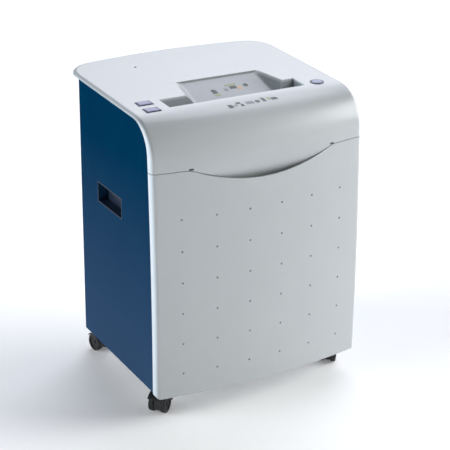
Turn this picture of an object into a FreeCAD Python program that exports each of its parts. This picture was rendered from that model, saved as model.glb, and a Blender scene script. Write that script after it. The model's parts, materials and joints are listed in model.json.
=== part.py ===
import FreeCAD, Part
import math
import os

# Office paper shredder on casters. Millimetres, +Z up, front towards -Y.
# Origin of the saved parts: on the floor, under the centre of the outside box.
# The y values below are drawn from the cabinet's own datum; save() moves them by -MIDDLE_Y.

V = FreeCAD.Vector
X_DIR = V(1, 0, 0)
Y_DIR = V(0, 1, 0)
Z_DIR = V(0, 0, 1)

# ---- outside shape -------------------------------------------------------------------
WIDTH = 380.0            # over the white shell
HALF = WIDTH / 2
SHELL = 3.0              # wall of the white mouldings
FRONT_Y = -169.9         # bowed front at the middle, at height FRONT_Z
FRONT_Z = 500.0
FRONT_LEAN = 16.0        # how much further forward the front stands at the floor
FRONT_CROWN = 5.0        # how far it bulges between the two heights
BOW = 17.5               # how far the front bulges over its width
BOW_R = (HALF ** 2 + BOW ** 2) / (2 * BOW)
BOW_AXIS_Y = FRONT_Y + BOW_R
SIDE_FRONT_Y = FRONT_Y + BOW
REAR_Y = 175.4           # rear edge of the top cover at the middle
REAR_CORNER_R = 50.0
BACK_Y = 109.0           # rear face of the cabinet
TOP_Z = 504.5            # top surface above the cabinet's rear face
TOP_SLOPE = 0.033        # fall of the top surface towards the front
NOSE_R = 62.0            # round between the top and the front
NOSE_FOOT_Z = 436.0      # where that round runs into the front
EDGE_R = 8.0             # rounding along the sides of the shell
DOOR_Z = 40.0            # lower edge of the drawer front
DOOR_CORNER_R = 8.0      # its lower corners, seen from the front
SKIRT = 4.5              # height of the shell's side wall along the top
FLANGE = 12.0            # depth of the shell's side wall along the front

# ---- seam between top cover and drawer front --------------------------------------------
SEAM_Z = 421.0
SEAM_DIP = 28.0
SEAM_R = 302.0
SEAM_END_R = 60.0
SEAM_GAP = 1.0
SCOOP_HALF = 127.0       # finger scoop in the cover above the seam: half width
SCOOP_TOP_Z = 440.0      # its upper edge at the middle
SCOOP_R = 104.0          # its curve seen from the side
SCOOP_START = 0.03       # slope where it leaves the front
NOTCH = (8.0, 2.6)       # small slot at each end of the scoop: width and height

# ---- dimples in the drawer front --------------------------------------------------------
DIMPLE_PITCH_X = 58.0
DIMPLE_PITCH_Z = 52.6
DIMPLE_TOP_Z = 344.0
DIMPLE_COLUMNS = 6
DIMPLE_ROWS = 6
DIMPLE_R = 2.0

# ---- cabinet -----------------------------------------------------------------------------
PANEL_X = 186.6          # outer face of the blue side panels
PANEL_T = 2.0
PANEL_GAP = 0.5          # between the panels' upper edge and the shell
CABINET_Z = 44.0         # bottom of the cabinet
SHEET = 2.0
WALL_X = PANEL_X - PANEL_T
BACK_SCREW_X = WALL_X - 10.0
BACK_SCREW_Z = (90.0, 250.0, 410.0)
GRIP_Y = (-45.0, 45.0)   # hand grips in the side panels
GRIP_Z = (306.0, 342.0)
GRIP_DEPTH = 17.0
INLET_X = 110.0          # power inlet in the back panel
INLET_Z = 90.0

# ---- feed recess and slot ---------------------------------------------------------------
RECESS_FRONT_Y = -90.0
RECESS_REAR_Y = -49.0
RECESS_HALF = 125.0
RECESS_FLOOR_Z = 476.0
RAMP_REAR_Y = 9.0        # ramp behind the trough: its upright rear edge
RAMP_FOOT_Y = -72.0
RAMP_STEP = 2.5          # its depth at the rear edge and at its foot
RAMP_DROP = 21.0
RAMP_LEFT = (-68.0, -84.0)      # where its sides fade into the top, at the rear and at the foot
RAMP_RIGHT = (96.0, 110.0)
RAMP_FADE = (16.0, 28.0)
SLOT_Y = -78.0
SLOT_HALF_WIDTH = 4.0
SLOT_HALF = 113.0

# ---- controls -----------------------------------------------------------------------------
RECT_BUTTONS = {"forward_button": (-151.0, -57.0), "reverse_button": (-153.0, -88.0)}
POWER_POS = (149.0, -84.0)
RECT_BEZEL = (25.0, 18.0)
RECT_CAP = (20.0, 13.0)
POWER_BEZEL_R = 11.5
POWER_CAP_R = 8.8
KEY_GAP = 0.3
BEZEL_PROUD = 0.9
CAP_PROUD = 1.4
BEZEL_FOOT_Z = 492.0
KEY_BOARD_Z = 482.5
KEY_STEM_Z = KEY_BOARD_Z + 5.3
LAMP_POS = (-86.0, 105.0)

# ---- cutting head ----------------------------------------------------------------------
SHAFT_Z = 430.0
SHAFT_GAP = 40.0
FRONT_SHAFT_Y = SLOT_Y - SHAFT_GAP / 2
REAR_SHAFT_Y = SLOT_Y + SHAFT_GAP / 2
DISC_R = 21.8
CORE_R = 17.4
DISC_T = 3.6
DISC_PITCH = 8.0
DISC_COUNT = 28
JOURNAL_R = 6.0
HEAD_X = 128.0           # inner face of the cutter side frames
HEAD_T = 3.0
BEAM_TOP_Z = 392.0
BEAM_FRONT_Y = (-132.0, -112.0)
SHELF_Y = (-34.0, 64.0)
TIE_RODS = ((-125.0, 402.0), (-125.0, 458.0), (-30.0, 404.0))
BUSH_R = 9.0
RUN_GAP = 0.05           # radial clearance of running fits

TIMING_TEETH = 20
TIMING_MODULE = 2.0
DRIVE_TEETH = 56
DRIVE_MODULE = 1.25
IDLER_SMALL_TEETH = 14
IDLER_LARGE_TEETH = 48
PINION_TEETH = 12
PINION_MODULE = 1.0
BACKLASH = 0.22
TIMING_X = (134.0, 142.0)
DRIVE_X = (145.0, 153.0)
PINION_X = (156.0, 163.0)
IDLER_Y = REAR_SHAFT_Y + DRIVE_MODULE * (DRIVE_TEETH + IDLER_SMALL_TEETH) / 2
MOTOR_Y = IDLER_Y + PINION_MODULE * (IDLER_LARGE_TEETH + PINION_TEETH) / 2
MOTOR_R = 33.0
MOTOR_X = (22.0, 118.0)
MOTOR_BOSS_R = 12.0
MOTOR_SHAFT_R = 4.0
GEARBOX_X = 172.0

# ---- drawer ---------------------------------------------------------------------------------
DOOR_BACK_Y = -141.0     # flat plane behind the drawer front
DRAWER_PLATE_T = 1.5
RIB_X = (-110.0, -40.0, 40.0, 110.0)
DRAWER_TOP_Z = 376.0     # the frame and ribs pass under the cover's lip
BIN_HALF = 156.0
BIN_Y = (-134.0, 80.0)
BIN_TOP_Z = 352.0
BIN_WALL = 2.5
RUNNER_Z = (66.0, 88.0)
RUNNER_Y = (-139.0, 88.0)
RAIL_Y = (-134.0, 98.0)
SWITCH_X = 150.0         # drawer interlock
SWITCH_Z = BEAM_TOP_Z - 24.0
PLUNGER_R = 2.0

# ---- casters --------------------------------------------------------------------------------
WHEEL_R = 15.5
WHEEL_W = 9.0
WHEEL_GAP = 11.0         # between the two wheels, filled by the fork's web
TRAIL = 10.0
HOOD_R = 17.6
FORK_FOOT_Z = 3.0
CASTERS = {               # name: (x, y, direction the wheels trail, degrees)
    "front_left": (-161.0, -132.0, 220.0),
    "front_right": (161.0, -132.0, 50.0),
    "rear_left": (-161.0, 93.0, 100.0),
    "rear_right": (161.0, 93.0, 80.0),
}


# ---- small helpers ----------------------------------------------------------------------
def box(x0, x1, y0, y1, z0, z1):
    return Part.makeBox(x1 - x0, y1 - y0, z1 - z0, V(x0, y0, z0))


def rod_x(x0, x1, y, z, r):
    return Part.makeCylinder(r, x1 - x0, V(x0, y, z), X_DIR)


def rod_y(y0, y1, x, z, r):
    return Part.makeCylinder(r, y1 - y0, V(x, y0, z), Y_DIR)


def rod_z(z0, z1, x, y, r):
    return Part.makeCylinder(r, z1 - z0, V(x, y, z0), Z_DIR)


def join(shapes):
    first = shapes[0]
    if len(shapes) == 1:
        return first
    return first.fuse(shapes[1:]).removeSplitter()


def cut(shape, *tools):
    return shape.cut(list(tools))


def polygon(points):
    return Part.Face(Part.makePolygon(points + [points[0]]))


def mirror_x(shape):
    return shape.mirror(V(0, 0, 0), X_DIR)


def save(name, shape):
    placed = shape.copy()
    placed.translate(V(0, -MIDDLE_Y, 0))
    placed.exportStep("parts/" + name + ".step")


def tangent_points(a, b, c, r):
    """Arc of radius r that rounds the corner b between a and c: start, middle, end."""
    u = (a - b).normalize()
    w = (c - b).normalize()
    half = u.getAngle(w) / 2
    reach = r / math.tan(half)
    centre = b + (u + w).normalize() * (r / math.sin(half))
    middle = centre + (b - centre).normalize() * r
    return b + u * reach, middle, b + w * reach


def top_z(x, y):
    """Height of the outside top surface, which falls towards the bowed front."""
    away = math.hypot(x, BOW_AXIS_Y - y)
    return TOP_Z + TOP_SLOPE * ((BOW_AXIS_Y - BACK_Y) - away)


def front_y(z):
    """Outside front at the middle, at a height."""
    share = (FRONT_Z - z) / FRONT_Z
    return FRONT_Y - FRONT_LEAN * share - 4 * FRONT_CROWN * share * (1 - share)


def bulge(x):
    """How far the bowed front lies back at x from its middle."""
    return BOW_R - math.sqrt(BOW_R ** 2 - x ** 2)


BACK_TOP_Z = top_z(HALF, BACK_Y) - SKIRT - PANEL_GAP
FULLEST_Z = FRONT_Z / 2 * (1 - FRONT_LEAN / (4 * FRONT_CROWN))
REAR_LIP_Y = REAR_Y - EDGE_R + math.sqrt(EDGE_R ** 2 - (EDGE_R - SKIRT) ** 2)
MIDDLE_Y = (REAR_LIP_Y + front_y(FULLEST_Z)) / 2


# ---- the outside envelope ------------------------------------------------------------------
def waterfall(x, back, down, rear, low, radius):
    """Side view at x of everything under the top and behind the front, moved back and down."""
    def at(z):
        return V(0, front_y(z) + bulge(x) + back, z)

    guide = at(NOSE_FOOT_Z)
    slope = at(NOSE_FOOT_Z + 1).y - guide.y
    corner_y = guide.y + slope * (FRONT_Z - NOSE_FOOT_Z)
    corner = V(0, corner_y, top_z(x, corner_y) - down)
    rear_high = V(0, rear, top_z(x, rear) - down)
    rear_low = V(0, rear, low)
    a, m, b = tangent_points(rear_high, corner, guide, radius)
    return Part.Face(Part.Wire([Part.makeLine(rear_high, a), Part.Arc(a, m, b).toShape(),
                                Part.Arc(b, at((b.z + low) / 2), at(low)).toShape(),
                                Part.makeLine(at(low), rear_low), Part.makeLine(rear_low, rear_high)]))


def envelope(inset, edge_round=0.0):
    """Solid inside the shell's outer surface, moved inwards by inset."""
    section = waterfall(0, inset, inset, 260.0, DOOR_Z + inset, NOSE_R - inset)
    half_angle = 16.0
    section.rotate(V(0, BOW_AXIS_Y, 0), Z_DIR, -half_angle)
    ring = section.revolve(V(0, BOW_AXIS_Y, 0), Z_DIR, 2 * half_angle)
    solid = ring.common(plan_outline(inset).extrude(V(0, 0, 700)))
    if edge_round:
        solid = round_edges(solid, inset, edge_round)
    return solid


def plan_outline(inset):
    """Outline from above: straight sides, rear edge bowed like the front, round rear corners."""
    x = HALF - inset
    rear = REAR_Y - inset
    side = rear - bulge(x)
    r = REAR_CORNER_R - inset
    slope = x / math.sqrt(BOW_R ** 2 - x ** 2)
    right = tangent_points(V(x, -250, 0), V(x, side, 0), V(x - 10, side + 10 * slope, 0), r)
    left = [V(-p.x, p.y, 0) for p in right]
    far = -250.0
    edges = [Part.makeLine(V(-x, far, 0), V(x, far, 0)), Part.makeLine(V(x, far, 0), right[0]),
             Part.Arc(right[0], right[1], right[2]).toShape(),
             Part.Arc(right[2], V(0, rear, 0), left[2]).toShape(),
             Part.Arc(left[2], left[1], left[0]).toShape(),
             Part.makeLine(left[0], V(-x, far, 0))]
    return Part.Face(Part.Wire(edges))


def round_edges(solid, inset, radius):
    """Round the shell's edges along both sides and round the rear of the top."""
    chosen = []
    for edge in solid.Edges:
        points = edge.discretize(7)
        mid = points[3]
        on_side = all(abs(abs(p.x) - (HALF - inset)) < 0.01 for p in points)
        upright = abs(points[0].z - points[-1].z) > 20 and mid.y > 60
        at_top = all(abs(p.z - (top_z(p.x, p.y) - inset)) < 0.05 for p in points)
        if (on_side and not upright and mid.z > DOOR_Z + inset + 1) or (at_top and mid.y > 60):
            chosen.append(edge)
    return solid.makeFillet(radius, chosen)


def side_window(x0, x1):
    """Everything behind the shell's side wall: cut away to leave the flange and skirt."""
    face = waterfall(HALF, FLANGE, SKIRT, 400.0, -50.0, NOSE_R - FLANGE)
    face.translate(V(x0, 0, 0))
    return face.extrude(V(x1 - x0, 0, 0))


def seam_prism(offset, y0=-260.0, y1=-100.0):
    """Everything below the seam line, moved up by offset."""
    centre_z = SEAM_Z - SEAM_DIP + SEAM_R
    end_x = math.sqrt((SEAM_R + SEAM_END_R) ** 2 - (centre_z - SEAM_Z + SEAM_END_R) ** 2)
    share = SEAM_R / (SEAM_R + SEAM_END_R)
    join_x = end_x * share
    join_z = centre_z - (centre_z - SEAM_Z + SEAM_END_R) * share
    mid_angle = math.atan2(join_x - end_x, join_z - (SEAM_Z - SEAM_END_R)) / 2
    mid = (end_x + SEAM_END_R * math.sin(mid_angle), SEAM_Z - SEAM_END_R + SEAM_END_R * math.cos(mid_angle))

    def at(x, z):
        return V(x, y0, z + offset)

    wide = 260.0
    edges = [Part.makeLine(at(-wide, SEAM_Z), at(-end_x, SEAM_Z)),
             Part.Arc(at(-end_x, SEAM_Z), at(-mid[0], mid[1]), at(-join_x, join_z)).toShape(),
             Part.Arc(at(-join_x, join_z), at(0, SEAM_Z - SEAM_DIP), at(join_x, join_z)).toShape(),
             Part.Arc(at(join_x, join_z), at(mid[0], mid[1]), at(end_x, SEAM_Z)).toShape(),
             Part.makeLine(at(end_x, SEAM_Z), at(wide, SEAM_Z)),
             Part.makeLine(at(wide, SEAM_Z), at(wide, -100)),
             Part.makeLine(at(wide, -100), at(-wide, -100)),
             Part.makeLine(at(-wide, -100), at(-wide, SEAM_Z))]
    return Part.Face(Part.Wire(edges)).extrude(V(0, y1 - y0, 0))


def patch_solid(points, sweep):
    """Solid swept from a smooth surface through a grid of points."""
    surface = Part.BSplineSurface()
    surface.interpolate(points)
    return surface.toShape().extrude(sweep)


def steps(low, high, count):
    return [low + (high - low) * index / (count - 1) for index in range(count)]


def fade(share):
    """Smooth change from 0 to 1."""
    share = min(max(share, 0.0), 1.0)
    return share * share * (3 - 2 * share)


def scoop(grow):
    """Solid in front of the cover that dishes it inwards over the seam."""
    half = SCOOP_HALF + 8
    grid = []
    for x in steps(-half, half, 19):
        start = SCOOP_TOP_Z - (SCOOP_TOP_Z - SEAM_Z) * (x / SCOOP_HALF) ** 2
        line = []
        for z in steps(SEAM_Z - SEAM_DIP - 23, SCOOP_TOP_Z + 30, 13):
            below = start - z
            depth = SCOOP_START * below + max(below, 0.0) ** 2 / (2 * SCOOP_R)
            radius = BOW_AXIS_Y - front_y(z)
            line.append(V(x, BOW_AXIS_Y - math.sqrt(radius ** 2 - x ** 2) + depth + grow, z))
        grid.append(line)
    return patch_solid(grid, V(0, -60, 0))


def tapered_pocket(half_low, y_low, half_high, y_high, z_low, z_high):
    """Solid between two level rectangles, for a recess with drafted walls."""
    low = Part.makePolygon([V(-half_low, y_low[0], z_low), V(half_low, y_low[0], z_low),
                            V(half_low, y_low[1], z_low), V(-half_low, y_low[1], z_low),
                            V(-half_low, y_low[0], z_low)])
    high = Part.makePolygon([V(-half_high, y_high[0], z_high), V(half_high, y_high[0], z_high),
                             V(half_high, y_high[1], z_high), V(-half_high, y_high[1], z_high),
                             V(-half_high, y_high[0], z_high)])
    return Part.makeLoft([low, high], True, True)


def feed_ramp(grow):
    """Wide ramp that leads the paper down to the trough; its sides fade into the top."""
    grid = []
    for x in steps(RAMP_LEFT[1] - 10, RAMP_RIGHT[1] + 10, 31):
        line = []
        for y in steps(RAMP_FOOT_Y - 10, RAMP_REAR_Y + grow, 13):
            down = (RAMP_REAR_Y - y) / (RAMP_REAR_Y - RAMP_FOOT_Y)
            left, right, width = [at[0] + (at[1] - at[0]) * down for at in (RAMP_LEFT, RAMP_RIGHT, RAMP_FADE)]
            side = fade((x - left) / width) * fade((right - x) / width)
            depth = (RAMP_STEP + (RAMP_DROP - RAMP_STEP) * down + SHELL / 2) * side - SHELL / 2
            line.append(V(x, y, top_z(x, y) - depth - grow))
        grid.append(line)
    return patch_solid(grid, V(0, 0, 45))


def feed_trough(grow):
    """Trough over the slot."""
    return tapered_pocket(RECESS_HALF - 8 + grow, (RECESS_FRONT_Y + 4 - grow, RECESS_FRONT_Y + 19 + grow),
                          RECESS_HALF + 2 + grow, (RECESS_FRONT_Y - 2 - grow, RECESS_REAR_Y + 8 + grow),
                          RECESS_FLOOR_Z - grow, 512.0)


def button_seats(clear):
    """Holes in the cover for the bezels."""
    w, d = RECT_BEZEL
    holes = [box(x - w / 2 - clear, x + w / 2 + clear, y - d / 2 - clear, y + d / 2 + clear, 470, 520)
             for x, y in RECT_BUTTONS.values()]
    holes.append(rod_z(470, 520, POWER_POS[0], POWER_POS[1], POWER_BEZEL_R + clear))
    holes.append(rod_z(470, 520, LAMP_POS[0], LAMP_POS[1], 2.0 + clear / 2))
    return holes


# ---- white shell ---------------------------------------------------------------------------
def make_top_cover(outer, inner):
    shell = outer.cut(scoop(0.0)).cut(feed_trough(0.0)).cut(feed_ramp(0.0))
    core = inner.cut(scoop(SHELL)).cut(feed_trough(SHELL)).cut(feed_ramp(SHELL))
    cover = shell.cut(core)
    wide = HALF + 10.0
    reach = HALF - 8.0
    overhang = box(-wide, wide, BACK_Y - 20, 400, -60, 520).common(side_window(-wide, wide))
    cover = cut(cover, side_window(-wide, -reach), side_window(reach, wide), overhang)
    front_skin = outer.cut(envelope(2 * SHELL))
    cover = cover.cut(front_skin.common(seam_prism(SEAM_GAP / 2)))
    cover = cover.cut(seam_prism(-14.0, -260.0, 60.0))
    slot = box(-SLOT_HALF, SLOT_HALF, SLOT_Y - SLOT_HALF_WIDTH, SLOT_Y + SLOT_HALF_WIDTH, 460, 490)
    notches = [box(x - NOTCH[0] / 2, x + NOTCH[0] / 2, -200, FRONT_Y + 15, SEAM_Z, SEAM_Z + NOTCH[1])
               for x in (-SCOOP_HALF, SCOOP_HALF)]
    cover = cut(cover, slot, *notches, *button_seats(0.1))
    return keep_largest(cover)


def keep_largest(shape):
    return max(shape.Solids, key=lambda solid: solid.Volume)


def door_silhouette():
    """Front view of the drawer front, with its two rounded lower corners."""
    blank = box(-HALF, HALF, -260, 0, DOOR_Z, 470)
    corners = [e for e in blank.Edges if all(v.Z < DOOR_Z + 1 for v in e.Vertexes)
               and abs(e.Vertexes[0].Y - e.Vertexes[1].Y) > 100]
    return blank.makeFillet(DOOR_CORNER_R, corners)


def make_drawer_front(outer, inner):
    skin = outer.cut(inner).common(seam_prism(-SEAM_GAP / 2))
    skin = skin.cut(side_window(-HALF - 10, HALF + 10))
    skin = keep_largest(skin.common(door_silhouette()))
    dimples = []
    for row in range(DIMPLE_ROWS):
        z = DIMPLE_TOP_Z - row * DIMPLE_PITCH_Z
        for column in range(DIMPLE_COLUMNS):
            x = (column - (DIMPLE_COLUMNS - 1) / 2) * DIMPLE_PITCH_X
            radius = BOW_AXIS_Y - front_y(z)
            y = BOW_AXIS_Y - math.sqrt(radius ** 2 - x ** 2)
            dimples.append(Part.makeSphere(DIMPLE_R, V(x, y - 1.0, z)))
    ribs = [box(x - 1.0, x + 1.0, DOOR_BACK_Y - 60, DOOR_BACK_Y, 60, DRAWER_TOP_Z) for x in RIB_X]
    ribs = [rib.common(inner) for rib in ribs]
    return keep_largest(join([cut(skin, *dimples)] + ribs))


# ---- cabinet ---------------------------------------------------------------------------------
def panel_outline():
    """Side panel outline in the YZ plane, inside the shell's inner surface."""
    return waterfall(HALF, EDGE_R + 0.3, SKIRT + PANEL_GAP, BACK_Y, CABINET_Z, NOSE_R - 7.0)


def back_screw_holes():
    return [rod_y(BACK_Y - 10, BACK_Y + 10, x, z, 2.1)
            for x in (-BACK_SCREW_X, BACK_SCREW_X) for z in BACK_SCREW_Z]


def make_side_panel():
    """Left side panel: sheet with a rear return flange and the opening for the grip."""
    plate = panel_outline()
    plate.translate(V(-PANEL_X, 0, 0))
    plate = plate.extrude(V(PANEL_T, 0, 0))
    rear = box(-WALL_X, -WALL_X + 14, BACK_Y - SHEET, BACK_Y, CABINET_Z, BACK_TOP_Z)
    grip = box(-PANEL_X - 5, -WALL_X + 5, GRIP_Y[0], GRIP_Y[1], GRIP_Z[0], GRIP_Z[1])
    return cut(join([plate, rear]), grip, *back_screw_holes())


def make_grip_cup():
    """Left grip cup: an open box let into the panel, with a flange behind it."""
    y0, y1 = GRIP_Y
    z0, z1 = GRIP_Z
    wall = 1.8
    gap = 0.2
    lap = 6.0
    outer = box(-PANEL_X, -PANEL_X + GRIP_DEPTH + wall, y0 + gap, y1 - gap, z0 + gap, z1 - gap)
    inner = box(-PANEL_X - 1, -PANEL_X + GRIP_DEPTH, y0 + wall, y1 - wall, z0 + wall, z1 - wall)
    flange = box(-WALL_X, -WALL_X + wall, y0 - lap, y1 + lap, z0 - lap, z1 + lap)
    return cut(join([outer, flange]), inner)


def make_base_tray():
    x = WALL_X - 0.1
    front = -148.0
    rear = BACK_Y - SHEET - 0.1
    floor = box(-x, x, front, rear, CABINET_Z, CABINET_Z + SHEET)
    flanges = [box(-x, -x + SHEET, front, rear, CABINET_Z, CABINET_Z + 14),
               box(x - SHEET, x, front, rear, CABINET_Z, CABINET_Z + 14),
               box(-x + 16, x - 16, rear - SHEET, rear, CABINET_Z, CABINET_Z + 14)]
    holes = [rod_z(30, 60, cx, cy, 8.0) for cx, cy, _ in CASTERS.values()]
    return cut(join([floor] + flanges), *holes)


def make_back_panel():
    x = WALL_X - 14.0
    plate = box(-x + 0.2, x - 0.2, BACK_Y - SHEET, BACK_Y, CABINET_Z, BACK_TOP_Z)
    tabs = [box(side - 8, side + 8, BACK_Y - 2 * SHEET, BACK_Y - SHEET, CABINET_Z + 16, BACK_TOP_Z - 20)
            for side in (-x, x)]
    vents = []
    for row in range(9):
        z = 398 + row * 9.0
        for column in range(6):
            x0 = -110 + column * 38.0
            vents.append(box(x0, x0 + 30, BACK_Y - 10, BACK_Y + 10, z, z + 3.5))
    inlet = box(INLET_X - 14.2, INLET_X + 14.2, BACK_Y - 10, BACK_Y + 10, INLET_Z - 10.2, INLET_Z + 10.2)
    breaker = rod_y(BACK_Y - 10, BACK_Y + 10, INLET_X - 40, INLET_Z, 5.1)
    return cut(join([plate] + tabs), inlet, breaker, *vents, *back_screw_holes())


def make_power_inlet():
    """Appliance inlet with three pins, open to the rear."""
    body = box(INLET_X - 14, INLET_X + 14, BACK_Y - 18, BACK_Y + 0.5, INLET_Z - 10, INLET_Z + 10)
    frame = box(INLET_X - 17, INLET_X + 17, BACK_Y, BACK_Y + 2, INLET_Z - 13, INLET_Z + 13)
    hollow = box(INLET_X - 12, INLET_X + 12, BACK_Y - 14, BACK_Y + 5, INLET_Z - 8, INLET_Z + 8)
    pins = [box(x - 1, x + 1, BACK_Y - 16, BACK_Y - 2, z - 2, z + 2)
            for x, z in ((INLET_X - 7, INLET_Z - 1.5), (INLET_X + 7, INLET_Z - 1.5), (INLET_X, INLET_Z + 3))]
    return join([cut(join([body, frame]), hollow)] + pins)


def make_breaker():
    body = rod_y(BACK_Y - 16, BACK_Y - SHEET, INLET_X - 40, INLET_Z, 8.0)
    neck = rod_y(BACK_Y - SHEET, BACK_Y + 3, INLET_X - 40, INLET_Z, 5.0)
    cap = rod_y(BACK_Y + 3, BACK_Y + 6, INLET_X - 40, INLET_Z, 3.5)
    return join([body, neck, cap])


def make_front_beam():
    y0, y1 = BEAM_FRONT_Y
    outer = box(-WALL_X, WALL_X, y0, y1, BEAM_TOP_Z - 14, BEAM_TOP_Z)
    inner = box(-WALL_X - 1, WALL_X + 1, y0 + 1.5, y1 - 1.5, BEAM_TOP_Z - 12.5, BEAM_TOP_Z - 1.5)
    return cut(outer, inner)


def make_motor_shelf():
    y0, y1 = SHELF_Y
    plate = box(-WALL_X, WALL_X, y0, y1, BEAM_TOP_Z - SHEET, BEAM_TOP_Z)
    lips = [box(-WALL_X, WALL_X, y - 1, y + 1, BEAM_TOP_Z - 14, BEAM_TOP_Z) for y in (y0 + 1, y1 - 1)]
    return join([plate] + lips)


# ---- cutting head -----------------------------------------------------------------------
def make_head_frame(x0):
    plate = box(x0, x0 + HEAD_T, -130, 62, BEAM_TOP_Z, 466)
    plate = cut(plate, box(x0 - 1, x0 + HEAD_T + 1, -28, 70, 428 + 36, 480))
    holes = [rod_x(x0 - 1, x0 + 10, y, SHAFT_Z, BUSH_R) for y in (FRONT_SHAFT_Y, REAR_SHAFT_Y)]
    holes += [rod_x(x0 - 1, x0 + 10, y, z, 4.0) for y, z in TIE_RODS]
    return cut(plate, *holes)


def make_tie_rods():
    rods = []
    for y, z in TIE_RODS:
        bar = rod_x(-HEAD_X, HEAD_X, y, z, 5.0)
        ends = rod_x(-HEAD_X - HEAD_T - 4, HEAD_X + HEAD_T, y, z, 3.9)
        rods.append(join([bar, ends]))
    return Part.makeCompound(rods)


def make_bushes():
    bushes = []
    for y in (FRONT_SHAFT_Y, REAR_SHAFT_Y):
        for x0 in (-HEAD_X - HEAD_T, HEAD_X):
            sleeve = rod_x(x0, x0 + HEAD_T, y, SHAFT_Z, BUSH_R)
            inside = -HEAD_X if x0 < 0 else HEAD_X - 1.2
            flange = rod_x(inside, inside + 1.2, y, SHAFT_Z, BUSH_R + 2)
            bore = rod_x(x0 - 10, x0 + 20, y, SHAFT_Z, JOURNAL_R + RUN_GAP)
            bushes.append(cut(join([sleeve, flange]), bore))
    return Part.makeCompound(bushes)


def make_cutter(y, shift, left_end, right_end):
    """Cutting shaft: discs on a core between two journals, as one turned piece."""
    length = DISC_COUNT * DISC_PITCH
    start = -length / 2
    outline = [(left_end, 0), (left_end, JOURNAL_R), (-HEAD_X + 1.6, JOURNAL_R), (-HEAD_X + 1.6, CORE_R)]
    for index in range(DISC_COUNT):
        x0 = start + index * DISC_PITCH + shift
        outline += [(x0, CORE_R), (x0, DISC_R), (x0 + DISC_T, DISC_R), (x0 + DISC_T, CORE_R)]
    outline += [(HEAD_X - 1.6, CORE_R), (HEAD_X - 1.6, JOURNAL_R), (right_end, JOURNAL_R), (right_end, 0)]
    face = polygon([V(x, y + r, SHAFT_Z) for x, r in outline])
    return face.revolve(V(0, y, SHAFT_Z), X_DIR, 360)


def make_comb(y_bar, y_tip, disc_shift):
    """Stripper comb: a bar whose fingers stand between the cutting discs."""
    y0, y1 = sorted((y_bar, y_bar + (5 if y_tip < y_bar else -5)))
    bar = box(-HEAD_X, HEAD_X, y0, y1, SHAFT_Z - 4, SHAFT_Z + 4)
    fingers = []
    start = -DISC_COUNT * DISC_PITCH / 2 + disc_shift
    low, high = sorted((y_bar, y_tip))
    for index in range(1, DISC_COUNT):
        x1 = start + index * DISC_PITCH - 0.5
        fingers.append(box(x1 - (DISC_PITCH - DISC_T) + 1.0, x1, low, high, SHAFT_Z - 4, SHAFT_Z + 4))
    return join([bar] + fingers)


def gear(teeth, module, x0, x1, y, z, turn=0.0, backlash=BACKLASH):
    """Spur gear with involute flanks drawn as short straight lines."""
    pitch = module * teeth / 2
    pressure = math.radians(20)
    base = pitch * math.cos(pressure)
    tip = pitch + module * 0.9
    root = pitch - module * 1.25
    half = (math.pi * module / 2 - backlash) / (2 * pitch)

    def flank(radius):
        radius = max(radius, base)
        involute = math.tan(math.acos(base / radius)) - math.acos(base / radius)
        at_pitch = math.tan(pressure) - pressure
        return half + at_pitch - involute

    steps = [root] + [max(root, base) + (tip - max(root, base)) * k / 4 for k in range(5)]
    points = []
    for index in range(teeth):
        middle = turn + 2 * math.pi * index / teeth
        rising = [(r, middle - flank(r)) for r in steps]
        falling = [(r, middle + flank(r)) for r in reversed(steps)]
        for r, angle in rising + falling:
            point = V(x0, y + r * math.cos(angle), z + r * math.sin(angle))
            if not points or points[-1].distanceToPoint(point) > 1e-4:
                points.append(point)
    return polygon(points).extrude(V(x1 - x0, 0, 0))


def make_motor():
    x0, x1 = MOTOR_X
    can = rod_x(x0 + 6, x1 - 6, MOTOR_Y, SHAFT_Z, MOTOR_R)
    caps = [rod_x(start, start + 8, MOTOR_Y, SHAFT_Z, MOTOR_R - 4) for start in (x0, x1 - 8)]
    boss = rod_x(x1, HEAD_X, MOTOR_Y, SHAFT_Z, MOTOR_BOSS_R)
    bore = rod_x(x0 - 1, HEAD_X + 5, MOTOR_Y, SHAFT_Z, MOTOR_SHAFT_R + RUN_GAP)
    return cut(join([can] + caps + [boss]), bore)


def make_motor_mount():
    """Saddle that carries the motor on the shelf."""
    x0, x1 = MOTOR_X[0] + 20, MOTOR_X[1] - 20
    block = box(x0, x1, MOTOR_Y - 26, MOTOR_Y + 26, BEAM_TOP_Z, BEAM_TOP_Z + 16)
    between = box(x0 + 6, x1 - 6, MOTOR_Y - 40, MOTOR_Y + 40, BEAM_TOP_Z + 2, BEAM_TOP_Z + 30)
    return cut(block, rod_x(x0 - 1, x1 + 1, MOTOR_Y, SHAFT_Z, MOTOR_R), between)


def make_rotor():
    turn = math.pi / PINION_TEETH
    shaft = rod_x(MOTOR_X[0] - 18, PINION_X[1], MOTOR_Y, SHAFT_Z, MOTOR_SHAFT_R)
    pinion = gear(PINION_TEETH, PINION_MODULE, PINION_X[0], PINION_X[1], MOTOR_Y, SHAFT_Z, turn)
    return join([shaft, pinion])


def make_fan():
    hub = rod_x(MOTOR_X[0] - 16, MOTOR_X[0] - 3, MOTOR_Y, SHAFT_Z, 9)
    blade = box(MOTOR_X[0] - 15, MOTOR_X[0] - 4, MOTOR_Y - 1, MOTOR_Y + 1, SHAFT_Z, SHAFT_Z + 27)
    blades = []
    for index in range(7):
        copy = blade.copy()
        copy.rotate(V(0, MOTOR_Y, SHAFT_Z), X_DIR, 360.0 * index / 7)
        blades.append(copy)
    return cut(join([hub] + blades), rod_x(-50, 50, MOTOR_Y, SHAFT_Z, 4.0))


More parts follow.
